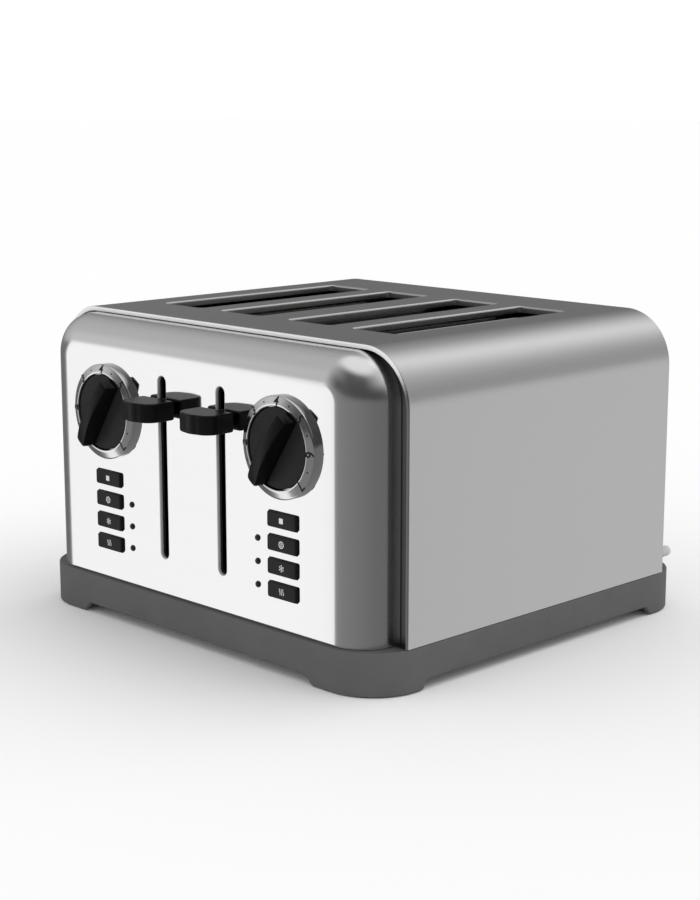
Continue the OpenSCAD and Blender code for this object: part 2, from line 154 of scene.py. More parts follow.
def rr(w, h, r, n=8, cx=0.0, cy=0.0):
    """rounded rectangle outline, n segments a corner"""
    r = max(min(r, w / 2 - 1e-3, h / 2 - 1e-3), 1e-3)
    pts = []
    for cxs, cys, a0 in ((1, 1, 0), (-1, 1, 90), (-1, -1, 180), (1, -1, 270)):
        for k in range(n + 1):
            a = math.radians(a0 + 90 * k / n)
            pts.append((cx + cxs * (w / 2 - r) + r * math.cos(a), cy + cys * (h / 2 - r) + r * math.sin(a)))
    return pts


def arch(hw, z0, z1, r, n=20, side=6):
    """open path of an arch from lower right, over the top, to lower left (x, z)"""
    pts = [(hw, z0 + (z1 - r - z0) * k / side) for k in range(side)]
    pts += [(hw - r + r * math.cos(math.pi / 2 * k / n), z1 - r + r * math.sin(math.pi / 2 * k / n)) for k in range(n + 1)]
    mid = [(hw - r - 2 * (hw - r) * k / 12, z1) for k in range(1, 12)]
    left = [(-x, z) for x, z in reversed(pts)]
    return pts + mid + left


def boolean(ob, cutters):
    for c in cutters:
        m = ob.modifiers.new("cut", "BOOLEAN")
        m.object = c
        m.operation = "DIFFERENCE"
        m.solver = "EXACT"
    bake(ob)
    for c in cutters:
        me = c.data
        bpy.data.objects.remove(c)
        bpy.data.meshes.remove(me)


def bake(ob):
    bpy.context.view_layer.update()
    dg = bpy.context.evaluated_depsgraph_get()
    me = bpy.data.meshes.new_from_object(ob.evaluated_get(dg))
    old = ob.data
    ob.modifiers.clear()
    ob.data = me
    bpy.data.meshes.remove(old)


def prism_y(outline, y0, y1, name="cutter"):
    """solid from an (x, z) outline between y0 and y1"""
    v, f = loft([[(x, y0, z) for x, z in outline], [(x, y1, z) for x, z in outline]])
    return make(name, v, f, None)


def prism_z(outline, z0, z1, name="cutter"):
    v, f = loft([[(x, y, z0) for x, y in outline], [(x, y, z1) for x, y in outline]])
    return make(name, v, f, None)


# ------------------------------------------------------------------ materials
def new_mat(name, color, rough, metal=0.0, coat=0.0, spec=0.5, ior=None):
    m = bpy.data.materials.new(name)
    m.use_nodes = True
    nt = m.node_tree
    b = nt.nodes["Principled BSDF"]
    b.inputs["Base Color"].default_value = (*color, 1)
    b.inputs["Roughness"].default_value = rough
    b.inputs["Metallic"].default_value = metal
    b.inputs["Coat Weight"].default_value = coat
    b.inputs["Specular IOR Level"].default_value = spec
    if ior:
        b.inputs["IOR"].default_value = ior
    return m, nt, b


def coords(nt, scale):
    tc = nt.nodes.new("ShaderNodeTexCoord")
    mp = nt.nodes.new("ShaderNodeMapping")
    mp.inputs["Scale"].default_value = scale
    nt.links.new(tc.outputs["Object"], mp.inputs["Vector"])
    return mp.outputs["Vector"]


def noise(nt, vec, scale=1.0, detail=3.0, rough=0.55):
    n = nt.nodes.new("ShaderNodeTexNoise")
    n.inputs["Scale"].default_value = scale
    n.inputs["Detail"].default_value = detail
    n.inputs["Roughness"].default_value = rough
    nt.links.new(vec, n.inputs["Vector"])
    return n.outputs["Fac"]


def ramp(nt, fac, lo, hi, a=0.3, b=0.7):
    r = nt.nodes.new("ShaderNodeMapRange")
    r.inputs["From Min"].default_value = a
    r.inputs["From Max"].default_value = b
    r.inputs["To Min"].default_value = lo
    r.inputs["To Max"].default_value = hi
    nt.links.new(fac, r.inputs["Value"])
    return r.outputs["Result"]


def mix_color(nt, fac, c0, c1):
    m = nt.nodes.new("ShaderNodeMix")
    m.data_type = "RGBA"
    m.inputs[6].default_value = (*c0, 1)
    m.inputs[7].default_value = (*c1, 1)
    nt.links.new(fac, m.inputs[0])
    return m.outputs[2]


def bump(nt, b, height, strength, dist):
    n = nt.nodes.new("ShaderNodeBump")
    n.inputs["Strength"].default_value = strength
    n.inputs["Distance"].default_value = dist * MM
    nt.links.new(height, n.inputs["Height"])
    nt.links.new(n.outputs["Normal"], b.inputs["Normal"])


def brushed(name, color, rough, stretch, dr=0.05, dc=0.03, bs=0.04, metal=1.0):
    """metal with fine lines drawn out along one axis"""
    m, nt, b = new_mat(name, color, rough, metal)
    v = coords(nt, stretch)
    fine = noise(nt, v, 1.0, 4, 0.6)
    wide = noise(nt, coords(nt, (9, 9, 9)), 1.0, 3, 0.5)
    add = nt.nodes.new("ShaderNodeMath")
    add.operation = "ADD"
    nt.links.new(ramp(nt, fine, -dr, dr), add.inputs[0])
    nt.links.new(ramp(nt, wide, rough - dr * 0.4, rough + dr * 0.4), add.inputs[1])
    nt.links.new(add.outputs[0], b.inputs["Roughness"])
    lo = tuple(max(0, c - dc) for c in color)
    hi = tuple(min(1, c + dc) for c in color)
    nt.links.new(mix_color(nt, ramp(nt, fine, 0, 1), lo, hi), b.inputs["Base Color"])
    if bs > 0:
        bump(nt, b, fine, bs, 0.02)
    return m


def plastic(name, color, rough, grain=1500, strength=0.25, dist=0.03, dc=0.15, spec=0.5):
    """moulded plastic with a fine spark-eroded grain"""
    m, nt, b = new_mat(name, color, rough, spec=spec)
    v = coords(nt, (1, 1, 1))
    g = noise(nt, v, grain, 4, 0.6)
    w = noise(nt, v, 40, 3, 0.5)
    nt.links.new(mix_color(nt, ramp(nt, w, 0, 1), tuple(c * (1 - dc) for c in color), tuple(min(1, c * (1 + dc)) for c in color)), b.inputs["Base Color"])
    nt.links.new(ramp(nt, g, rough - 0.05, rough + 0.06), b.inputs["Roughness"])
    bump(nt, b, g, strength, dist)
    return m


M = {
    "wrap": brushed("wrap_steel", (0.66, 0.66, 0.66), 0.28, (60, 6, 60), 0.008, 0.006, 0),
    "lip": plastic("slot_lip_satin", (0.50, 0.50, 0.50), 0.4, 900, 0.1, 0.01, 0.03),
    "panel": brushed("panel_steel", (0.93, 0.93, 0.93), 0.055, (12, 400, 400), 0.012, 0.006, 0.006),
    "trim": brushed("trim_steel", (0.42, 0.42, 0.42), 0.35, (120, 40, 120), 0.02, 0.02, 0),
    "chrome": brushed("dial_chrome", (0.86, 0.86, 0.87), 0.12, (700, 700, 700), 0.02, 0.01, 0.01),
    "inner": brushed("inner_steel", (0.30, 0.30, 0.305), 0.38, (200, 200, 20), 0.08, 0.06, 0.05),
    # painted shade: the chassis plates seen down the slots get near-black steel so the slot insides read dark
    "shaded_inner": brushed("inner_steel_painted_shade", (0.07, 0.068, 0.066), 0.45, (200, 200, 20), 0.08, 0.05, 0.05),
    "wire": brushed("wire_steel", (0.34, 0.34, 0.34), 0.30, (200, 200, 200), 0.06, 0.05, 0.02),
    "base": plastic("base_plastic", (0.125, 0.125, 0.127), 0.6, 1300, 0.35, 0.035, 0.05, 0.2),
    "knob": plastic("knob_plastic", (0.004, 0.004, 0.0042), 0.34, 1800, 0.15, 0.02, 0.15, 0.30),
    "disc": plastic("dial_disc_plastic", (0.020, 0.020, 0.0205), 0.5, 1800, 0.25, 0.02, 0.1, 0.25),
    "grip": plastic("dial_grip_plastic", (0.0028, 0.0028, 0.003), 0.33, 1800, 0.10, 0.02, 0.1, 0.28),
    "button": plastic("button_plastic", (0.010, 0.010, 0.0105), 0.38, 1800, 0.12, 0.02, 0.12, 0.3),
    "white": plastic("print_white", (0.82, 0.82, 0.82), 0.5, 900, 0.05, 0.01, 0.03),
    "ink": plastic("print_black", (0.012, 0.012, 0.012), 0.45, 900, 0.05, 0.01, 0.1),
    "lens": plastic("lamp_lens", (0.02, 0.02, 0.022), 0.12, 300, 0.02, 0.01, 0.2, 0.6),
    "rubber": plastic("foot_rubber", (0.02, 0.02, 0.02), 0.8, 900, 0.4, 0.05, 0.2),
    "dark": plastic("inner_plastic", (0.03, 0.03, 0.03), 0.6, 900, 0.2, 0.03, 0.2),
    "board": plastic("board_laminate", (0.02, 0.13, 0.06), 0.35, 500, 0.15, 0.03, 0.25),
    # painted shade: the mica boards are darkened well below real amber mica so the slot insides read dark
    "mica": plastic("mica_sheet", (0.085, 0.072, 0.052), 0.55, 180, 0.5, 0.15, 0.35, 0.2),
    "nichrome": brushed("heating_ribbon", (0.16, 0.13, 0.115), 0.4, (30, 400, 400), 0.08, 0.06, 0.05),
    "copper": brushed("magnet_copper", (0.62, 0.30, 0.14), 0.3, (30, 30, 2500), 0.08, 0.08, 0.3),
    "gland": plastic("gland_plastic", (0.62, 0.62, 0.61), 0.5, 900, 0.15, 0.03, 0.05),
    "ceramic": plastic("terminal_plastic", (0.66, 0.63, 0.55), 0.5, 700, 0.15, 0.03, 0.08),
    "spring": brushed("spring_steel", (0.6, 0.6, 0.6), 0.22, (300, 300, 300), 0.06, 0.05, 0.02),
}

# pressed steel is blurrier where it is bent; along the top of the wrap's folded front and rear edges a painted
# highlight turns the steel near white and non-metallic
def step(nt, v, a, c):
    n = nt.nodes.new("ShaderNodeMapRange")
    n.interpolation_type = "SMOOTHSTEP"
    n.inputs["From Min"].default_value = a
    n.inputs["From Max"].default_value = c
    nt.links.new(v, n.inputs["Value"])
    return n.outputs["Result"]


def op(nt, kind, a, c=None):
    n = nt.nodes.new("ShaderNodeMath")
    n.operation = kind
    for k, v in enumerate((a, c)):
        if v is None:
            continue
        if isinstance(v, (int, float)):
            n.inputs[k].default_value = v
        else:
            nt.links.new(v, n.inputs[k])
    return n.outputs[0]


def where(nt):
    g = nt.nodes.new("ShaderNodeNewGeometry")
    sx = nt.nodes.new("ShaderNodeSeparateXYZ")
    nt.links.new(g.outputs["Position"], sx.inputs[0])
    return sx.outputs["X"], op(nt, "SUBTRACT", sx.outputs["Y"], YC * MM), sx.outputs["Z"]


nt = M["panel"].node_tree
bs = nt.nodes["Principled BSDF"]
px, py, pz = where(nt)
bend = op(nt, "MAXIMUM", step(nt, op(nt, "ABSOLUTE", px), 0.112, 0.121), step(nt, pz, 0.161, 0.168))
base_rough = bs.inputs["Roughness"].links[0].from_socket
nt.links.new(op(nt, "ADD", base_rough, op(nt, "MULTIPLY", bend, 0.17)), bs.inputs["Roughness"])

nt = M["wrap"].node_tree
bs = nt.nodes["Principled BSDF"]
px, py, pz = where(nt)
# painted highlight mask: the top stretch of the wrap's folded front and rear edges, later mixed towards white with the
# metal look taken off
hem_highlight = op(nt, "MULTIPLY", step(nt, op(nt, "ABSOLUTE", py), 0.1124, 0.1128), step(nt, pz, 0.158, 0.176))
base_col = bs.inputs["Base Color"].links[0].from_socket
m = nt.nodes.new("ShaderNodeMix")
m.data_type = "RGBA"
m.inputs[7].default_value = (0.98, 0.98, 0.98, 1)
nt.links.new(hem_highlight, m.inputs[0])
nt.links.new(base_col, m.inputs[6])
nt.links.new(m.outputs[2], bs.inputs["Base Color"])
nt.links.new(op(nt, "SUBTRACT", 1.0, hem_highlight), bs.inputs["Metallic"])

# every carried-over CAD node
look = {
    "base_skirt": "base", "bottom_plate": "inner", "rubber_feet": "rubber", "chassis_floor": "inner", "chassis_top": "shaded_inner",
    "chassis_front_plate": "shaded_inner", "chassis_rear_plate": "shaded_inner", "side_shields": "shaded_inner", "centre_divider": "shaded_inner", "shell_wrap": "wrap",
    "front_panel": "panel", "rear_panel": "panel", "front_trim": "trim", "rear_trim": "trim", "potentiometers": "dark",
    "led_lenses": "lens", "control_board_left": "board", "control_board_right": "board", "tact_switches": "dark",
    "guide_rods": "wire", "heater_boards": "mica", "heater_windings": "nichrome", "crumb_tray": "inner", "cord_gland": "gland",
    "terminal_block": "ceramic", "screws": "wire",
}
for s in ("left", "right"):
    look.update({f"dial_bezel_{s}": "chrome", f"dial_knob_{s}": "knob", f"dial_shaft_{s}": "wire", f"lever_knob_{s}": "knob",
                 f"carriage_{s}": "inner", f"bread_racks_{s}": "wire", f"keeper_{s}": "inner", f"electromagnet_{s}": "copper",
                 f"lift_spring_{s}": "spring"})
    for b in ("stop", "bagel", "defrost", "reheat"):
        look[f"{b}_button_{s}"] = "button"
    for i in range(1, 5):
        look[f"bread_guide_{s}_{i}"] = "wire"
for n, o in N.items():
    finish_mesh(o, M[look[n]], 30)

# ------------------------------------------------------------------ shared sizes from the frame
OFF = np.array([0, YC, 0])
b = {n: (np.array(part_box(n)[0]) * 1000 - OFF, np.array(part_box(n)[1]) * 1000 - OFF) for n in N}
SHZ = float(b["shell_wrap"][0][2])           # lower edge of the shell
TOP = float(b["shell_wrap"][1][2])
HW = float(b["shell_wrap"][1][0])
WY = float(b["shell_wrap"][1][1])
PY = -float(b["front_panel"][0][1])          # half depth to the panel face
BX, BY = float(b["base_skirt"][1][0]), float(b["base_skirt"][1][1])
DX, DZ = 76.5, 127.3


# ------------------------------------------------------------------ steel wrap
def build_wrap():
    R = 32.0
    # (inset at the sides, inset at the top, y) from inside, round the rear edge, to the outside
    half = [(0.9, 0.9, 108.0), (1.3, 1.8, 110.6), (1.75, 2.5, 110.9), (1.9, 2.7, 111.2), (1.9, 2.7, 112.5), (1.82, 2.6, 112.72), (1.6, 2.35, WY - 0.14), (1.25, 1.8, WY - 0.02), (1.05, 1.2, WY)]
    for k in range(1, 8):
        a = math.radians(90 - 90 * k / 7)
        o = 1.05 - 1.05 * math.cos(a)
        half.append((o, o, WY - 1.05 + 1.05 * math.sin(a)))
    flat = [(0.0, 0.0, y) for y in (90, 76, 40, 0, -40, -76, -90)]
    cross = half + flat + [(o, q, -y) for o, q, y in reversed(half)] + [(0.8, 0.8, -107.0), (0.8, 0.8, 107.0)]
    rings = []
    for o, q, y in cross:
        rings.append([(x, y, z) for x, z in arch(HW - o, SHZ, TOP - q, R - o, 28, 6)])
    n = len(rings[0])
    m = len(rings)
    verts = [p for r in rings for p in r]
    faces = []
    for i in range(m):
        j = (i + 1) % m
        for k in range(n - 1):
            faces.append((i * n + k, i * n + k + 1, j * n + k + 1, j * n + k))
    for k in (0, n - 1):
        faces.append(tuple(i * n + k for i in range(m)))
    ob = make("steel_wrap", verts, faces, M["wrap"])
    lip_r = 1.3
    slots = [-82.4, -29.6, 29.6, 82.4]
    sw, sl = 35.6, 144.6
    cut = [prism_z(rr(sw + 2 * lip_r, sl + 2 * lip_r, 3 + lip_r, 8, x, 0), TOP - 3, TOP + 3) for x in slots]
    boolean(ob, cut)
    # turned-down lips, joined on to the sheet
    prof = [(lip_r - lip_r * math.sin(math.radians(90 * k / 6)), -(lip_r - lip_r * math.cos(math.radians(90 * k / 6)))) for k in range(7)]
    prof += [(0, -3.9), (0.35, -4.1), (0.8, -4.0), (0.8, -1.4), (lip_r, -0.8)]
    parts = []
    for x in slots:
        rg = []
        for off, dz in prof:
            rg.append([(px, py, TOP + dz) for px, py in rr(sw + 2 * off, sl + 2 * off, 3 + off, 8, x, 0)])
        v, f = loft(rg, True, False, False)
        nn = len(rg[0])
        parts.append((v, f))
    v, f = join(parts)
    lip = make("slot_lips", v, f, M["wrap"])
    bm = bmesh.new()
    bm.from_mesh(ob.data)
    bm.from_mesh(lip.data)
    bmesh.ops.remove_doubles(bm, verts=bm.verts, dist=2e-6)
    bm.to_mesh(ob.data)
    bm.free()
    bpy.data.objects.remove(lip)
    finish_mesh(ob, M["wrap"], 35, True)
    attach(ob, "root")
    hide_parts("shell_wrap")
    return ob


# ------------------------------------------------------------------ formed panels
def panel_rings(count=32, n=20):
    flat, sr, tr, tc = 115.8, 22.0, 18.0, 163.4
    cy, ty, back = PY - sr, PY - tr, 108.0
    out = []
    for i in range(count + 1):
        y = PY - (i / count) ** 2 * (PY - back)
        w = flat + math.sqrt(max(0.0, sr * sr - max(0.0, y - cy) ** 2))
        t = tc + math.sqrt(max(0.0, tr * tr - max(0.0, y - ty) ** 2))
        r = 8 + 19 * (w - flat) / sr
        out.append((y, w, t, r))
    return out


def build_panel(name, sign, node):
    rings = []
    ps = panel_rings()
    for y, w, t, r in ps:
        rings.append([(x, sign * y, z) for x, z in arch(w, SHZ, t, r, 20, 6)])
    y, w, t, r = ps[-1]
    for dy, o in ((0.25, 0.1), (0.55, 0.5), (0.6, 1.1), (0.6, 3.4), (0.0, 3.6)):
        rings.append([(x, sign * (y - dy), z) for x, z in arch(w - o, SHZ, t - o, r - o, 20, 6)])
    for y, w, t, r in reversed(ps[:-2]):
        rings.append([(x, sign * (y - 1.0), z) for x, z in arch(w - 1.0, SHZ, t - 1.0, r - 1.0, 20, 6)])
    v, f = loft(rings, False, True, True)
    n = len(rings[0])
    m = len(rings)
    # close the lower edge, right and left ends of every ring
    f.append(tuple(i * n for i in range(m)))
    f.append(tuple(i * n + n - 1 for i in range(m)))
    # underside strip between outer and inner skin
    f = [q for q in f if len(q) == 4] + [tuple(range(n - 1, -1, -1)), tuple((m - 1) * n + k for k in range(n))]
    k0 = [i * n for i in range(m)]
    k1 = [i * n + n - 1 for i in range(m)]
    f.append(tuple(k0 + list(reversed(k1))))
    ob = make(name, v, f, M["panel"])
    return ob


def stadium(x, z0, z1, w, n=10):
    r = w / 2
    pts = [(x + r * math.cos(math.pi * k / n), z1 - r + r * math.sin(math.pi * k / n)) for k in range(n + 1)]
    pts += [(x - r * math.cos(math.pi * k / n), z0 + r - r * math.sin(math.pi * k / n)) for k in range(n + 1)]
    return pts


def circle(x, z, r, n=32):
    return [(x + r * math.cos(2 * math.pi * k / n), z + r * math.sin(2 * math.pi * k / n)) for k in range(n)]


BTN_Z = {"reheat": 47.2, "defrost": 60.4, "bagel": 73.6, "stop": 86.8}
LED_X, LED_Z = 55.7, (47.4, 60.6, 73.8)


def build_front():
    ob = build_panel("front_panel_sheet", -1, "front_panel")
    cut = []
    y0, y1 = -PY - 2, -PY + 3
    for s in (-1, 1):
        cut.append(prism_y(stadium(s * 25.6, 46.7 - 0.6, 153.8 + 0.6, 6.8 + 1.2, 12), y0, y1))
        cut.append(prism_y(circle(s * DX, DZ, 5), y0, y1))
        for z in BTN_Z.values():
            cut.append(prism_y(rr(23.6, 9.5, 1.1, 4, s * DX, z), y0, y1))
        for z in LED_Z:
            cut.append(prism_y(circle(s * LED_X, z, 1.95, 20), y0, y1))
    boolean(ob, cut)
    finish_mesh(ob, M["panel"], 30, True)
    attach(ob, "root")
    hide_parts("front_panel")
    # rolled edges of the lever slots, the dark throats behind them, and the studs that carry the boards
    lips, throats = [], []
    for s in (-1, 1):
        for prof, out in (([(0.6, 0.0), (0.35, 0.05), (0.15, 0.2), (0.02, 0.5), (0, 0.9), (0, 1.7), (0.8, 1.7), (0.8, 0.9), (0.6, 0.9)], lips),
                          ([(0, 1.7), (0, 3.4), (0.8, 3.4), (0.8, 1.7)], throats)):
            rg = [[(x, -PY + d, z) for x, z in stadium(s * 25.6, 46.7 - off, 153.8 + off, 6.8 + 2 * off, 12)] for off, d in prof]
            v, f = loft(rg, True, False, False)
            nn = len(rg[0])
            f += [((len(rg) - 1) * nn + k, (len(rg) - 1) * nn + (k + 1) % nn, (k + 1) % nn, k) for k in range(nn)]
            out.append((v, f))
        for x in (52, 104):
            for z in (38, 146):
                throats.append(lathe([(0, 0), (1.5, 0), (1.5, -12.6), (0, -12.6)], (s * x, -PY + 1.1, z), "-Y", 20))
    for nm, parts, mat in (("lever_slot_lips", lips, M["lip"]), ("lever_slot_throats", throats, M["dark"])):
        v, f = join(parts)
        e = make(nm, v, f, mat, 35)
        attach(e, "root")
    return ob


def build_rear():
    ob = build_panel("rear_panel_sheet", 1, "rear_panel")
    g = b["cord_gland"]
    gx, gz = (g[0][0] + g[1][0]) / 2, 28.7
    notch = [(gx + 3.3 * math.cos(math.pi * k / 16), gz + 3.3 * math.sin(math.pi * k / 16)) for k in range(17)] + [(gx - 3.3, SHZ - 2), (gx + 3.3, SHZ - 2)]
    boolean(ob, [prism_y(notch, 120, 150)])
    finish_mesh(ob, M["panel"], 30, True)
    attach(ob, "root")
    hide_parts("rear_panel")


# ------------------------------------------------------------------ dials
def build_dial(s, tag):
    cx = s * DX
    prof = [(22.8, 0.0), (22.8, 4.3), (22.86, 4.62), (23.05, 4.86), (23.35, 4.95), (23.7, 4.98), (24.1, 4.92)]
    prof += [(24.1 + 3.4 * k / 6, 4.92 - 1.12 * k / 6) for k in range(1, 7)]
    prof += [(27.8, 3.66), (28.1, 3.46), (28.32, 3.15), (28.4, 2.8), (28.4, 0.0)]
    rings = []
    seg = 128
    for r, h in prof:
        rings.append([(cx + r * math.cos(2 * math.pi * k / seg), -PY - h, DZ + r * math.sin(2 * math.pi * k / seg)) for k in range(seg)])
    v, f = loft(rings, True, False, False)
    f += [((len(rings) - 1) * seg + k, (len(rings) - 1) * seg + (k + 1) % seg, (k + 1) % seg, k) for k in range(seg)]
    o = make(f"dial_ring_{tag}", v, f, M["chrome"], 28)
    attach(o, "root")
    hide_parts(f"dial_bezel_{tag}")

    # numbers and dots on the sloping face
    parts = []
    rm = 25.75
    slope = math.atan2(1.12, 3.4)
    hm = 4.92 - 1.12 * (rm - 24.1) / 3.4 + 0.03

    def place(pts, faces, ang):
        ca, sa = math.cos(ang), math.sin(ang)
        out = []
        for u, w, d in pts:            # u sideways, w outwards, d proud of the face
            r = rm + w * math.cos(slope) + d * math.sin(slope)
            h = hm - w * math.sin(slope) + d * math.cos(slope)
            x, z = u, r
            out.append((cx + x * ca + z * sa, -PY - h, DZ - x * sa + z * ca))
        parts.append((out, faces))

    for i in range(7):
        cu = bpy.data.curves.new("digit", "FONT")
        cu.body = str(i + 1)
        cu.size = 7.4
        cu.align_x = "CENTER"
        cu.extrude = 0.03
        cu.offset = 0.12
        cu.resolution_u = 4
        t = bpy.data.objects.new("digit", cu)
        scene.collection.objects.link(t)
        bpy.context.view_layer.update()
        me = bpy.data.meshes.new_from_object(t.evaluated_get(bpy.context.evaluated_depsgraph_get()))
        co = np.array([p.co for p in me.vertices])
        mid = (co.min(0) + co.max(0)) / 2
        pts = [(p[0] - mid[0], p[1] - mid[1], p[2] + 0.03) for p in co]
        place(pts, [tuple(p.vertices) for p in me.polygons], math.radians(-135 + 45 * i))
        bpy.data.objects.remove(t)
        bpy.data.curves.remove(cu)
        bpy.data.meshes.remove(me)
    for i in range(6):
        ring0 = [(0.5 * math.cos(2 * math.pi * k / 14), 0.5 * math.sin(2 * math.pi * k / 14), 0.0) for k in range(14)]
        ring1 = [(p[0], p[1], 0.06) for p in ring0]
        v, f = loft([ring0, ring1])
        place(v, f, math.radians(-112.5 + 45 * i))
    v, f = join(parts)
    o = make(f"dial_numbers_{tag}", v, f, M["ink"], 30)
    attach(o, "root")

    # disc
    y0 = -PY - 0.7
    prof = [(0, 0), (21.2, 0), (21.9, 0.2), (22.3, 0.6), (22.3, 2.9), (22.22, 3.2), (22.0, 3.42), (21.7, 3.5), (0, 3.5)]
    v1, f1 = lathe(prof, (cx, y0, DZ), "-Y", 96)
    o = make(f"dial_disc_{tag}", v1, f1, M["disc"], 30)
    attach(o, f"dial_{tag}")
    # grip bar across it: stations along the bar, each a rounded section
    ang = math.radians(33)
    stations = []
    L0, L1 = -24.2, 21.9
    ends0 = [(0.0, 0.42), (0.25, 0.62), (0.7, 0.78), (1.4, 0.90), (2.4, 0.97), (3.8, 1.0)]
    vs = [(L0 + d, k, False) for d, k in ends0]
    vs += [(L0 + 3.8 + (L1 - 0.9 - (L0 + 3.8)) * i / 22, 1.0, False) for i in range(1, 23)]
    vs += [(L1 - 0.45, 0.985, True), (L1 - 0.15, 0.95, True), (L1, 0.90, True)]
    for a, k, end in vs:
        h = 11.1 - 0.0062 * a * a
        if a < L0 + 3.8:
            h -= 1.0 * (1 - (a - L0) / 3.8) ** 2
        if end:
            h -= (1.0 - k) * 4
        wb, wt = 4.25 * k, 3.75 * k
        bottom = 3.2
        if a < -21.0:
            bottom = 3.2 + min(1.0, (-21.0 - a) / 0.8) * 2.3
        fl = 0.55 * k
        sec = [(wb, bottom)]
        if bottom < 3.6:
            sec += [(wb + 0.45, 3.52), (wb + 0.12, 3.75), (wb, 4.2)]
        else:
            sec += [(wb, bottom + 0.1), (wb, bottom + 0.2), (wb, bottom + 0.3)]
        top = 3.5 + h
        sec += [(wt, top - fl)]
        for q in range(1, 5):
            t = math.radians(90 * q / 4)
            sec.append((wt - fl + fl * math.cos(t), top - fl + fl * math.sin(t)))
        sec += [((wt - fl) * 0.5, top + 0.12 * k), (0, top + 0.16 * k)]
        sec = sec + [(-x, hh) for x, hh in reversed(sec[:-1])]
        ring = []
        for u, hh in sec:
            x = u * math.cos(ang) + a * math.sin(ang)
            z = -u * math.sin(ang) + a * math.cos(ang)
            ring.append((cx + x, y0 - hh, DZ + z))
        stations.append(ring)
    v, f = loft(stations)
    o = make(f"dial_grip_{tag}", v, f, M["grip"], 40)
    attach(o, f"dial_{tag}")
    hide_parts(f"dial_knob_{tag}")


# ------------------------------------------------------------------ lever ends
def build_lever(s, tag):
    lo, hi = b[f"lever_knob_{tag}"]
    cx = (lo[0] + hi[0]) / 2
    hw, yf, yb = (hi[0] - lo[0]) / 2, lo[1], hi[1]
    z0, z1 = lo[2], hi[2]

    def plan(o):
        """outline inset by o: straight back, rounded and slightly bowed front"""
        pts = []
        w, r = hw - o, 8.5 - o
        back, front = yb - o, yf + o
        bow = 1.0
        br = 1.2
        for k in range(5):
            a = math.radians(90 * k / 4)
            pts.append((cx + w - br + br * math.sin(a), back - br + br * math.cos(a)))
        for k in range(13):
            a = math.radians(90 * k / 12)
            pts.append((cx + w - r + r * math.cos(a), front + bow + r - r * math.sin(a)))
        for k in range(1, 12):
            t = k / 12
            x = (w - r) * (1 - 2 * t)
            pts.append((cx + x, front + bow * (x / (w - r)) ** 2))
        for k in range(13):
            a = math.radians(90 - 90 * k / 12)
            pts.append((cx - w + r - r * math.cos(a), front + bow + r - r * math.sin(a)))
        for k in range(5):
            a = math.radians(90 - 90 * k / 4)
            pts.append((cx - w + br - br * math.sin(a), back - br + br * math.cos(a)))
        return pts

    f_r = 1.1
    rings = []
    for k in range(6):
        a = math.radians(90 * k / 5)
        rings.append([(x, y, z0 + f_r - f_r * math.cos(a)) for x, y in plan(f_r - f_r * math.sin(a))])
    for k in range(6):
        a = math.radians(90 * k / 5)
        rings.append([(x, y, z1 - f_r + f_r * math.sin(a)) for x, y in plan(f_r - f_r * math.cos(a))])
    v, f = loft(rings)
    o = make(f"lever_end_{tag}", v, f, M["knob"], 40, True)
    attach(o, f"carriage_{tag}")
    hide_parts(f"lever_knob_{tag}")


# ------------------------------------------------------------------ buttons and lamps
def strip(path, w, closed=False):
    """flat band along a 2D path"""
    n = len(path)
    out = []
    for i, p in enumerate(path):
        a = path[(i - 1) % n] if (closed or i > 0) else p
        c = path[(i + 1) % n] if (closed or i < n - 1) else p
        dx, dy = c[0] - a[0], c[1] - a[1]
        ln = math.hypot(dx, dy) or 1
        nx, ny = -dy / ln * w / 2, dx / ln * w / 2
        out.append(((p[0] + nx, p[1] + ny), (p[0] - nx, p[1] - ny)))
    verts, faces = [], []
    for a, c in out:
        verts += [a, c]
    m = n if closed else n - 1
    for i in range(m):
        j = (i + 1) % n
        faces.append((2 * i, 2 * i + 1, 2 * j + 1, 2 * j))
    return verts, faces


def pictogram(kind):
    parts = []
    if kind == "stop":
        parts.append(([(-1.5, -1.5), (1.5, -1.5), (1.5, 1.5), (-1.5, 1.5)], [(0, 1, 2, 3)]))
    elif kind == "bagel":
        for r, w in ((1.75, 0.5), (0.75, 0.35)):
            parts.append(strip([(r * math.cos(2 * math.pi * k / 28), r * math.sin(2 * math.pi * k / 28)) for k in range(28)], w, True))
    elif kind == "defrost":
        for k in range(3):
            a = math.radians(60 * k + 30)
            c, s = math.cos(a), math.sin(a)
            parts.append(strip([(-2.05 * c, -2.05 * s), (0, 0), (2.05 * c, 2.05 * s)], 0.38))
            for e in (-1, 1):
                for d in (-1, 1):
                    a2 = a + math.radians(45) * d
                    p = (1.15 * e * c, 1.15 * e * s)
                    parts.append(strip([p, (p[0] + 0.7 * e * math.cos(a2), p[1] + 0.7 * e * math.sin(a2))], 0.3))
    else:
        for j in (-1, 0, 1):
            parts.append(strip([(j * 1.35 + 0.35 * math.sin(2 * math.pi * k / 14), -1.8 + 3.6 * k / 14) for k in range(15)], 0.42))
    return join(parts)


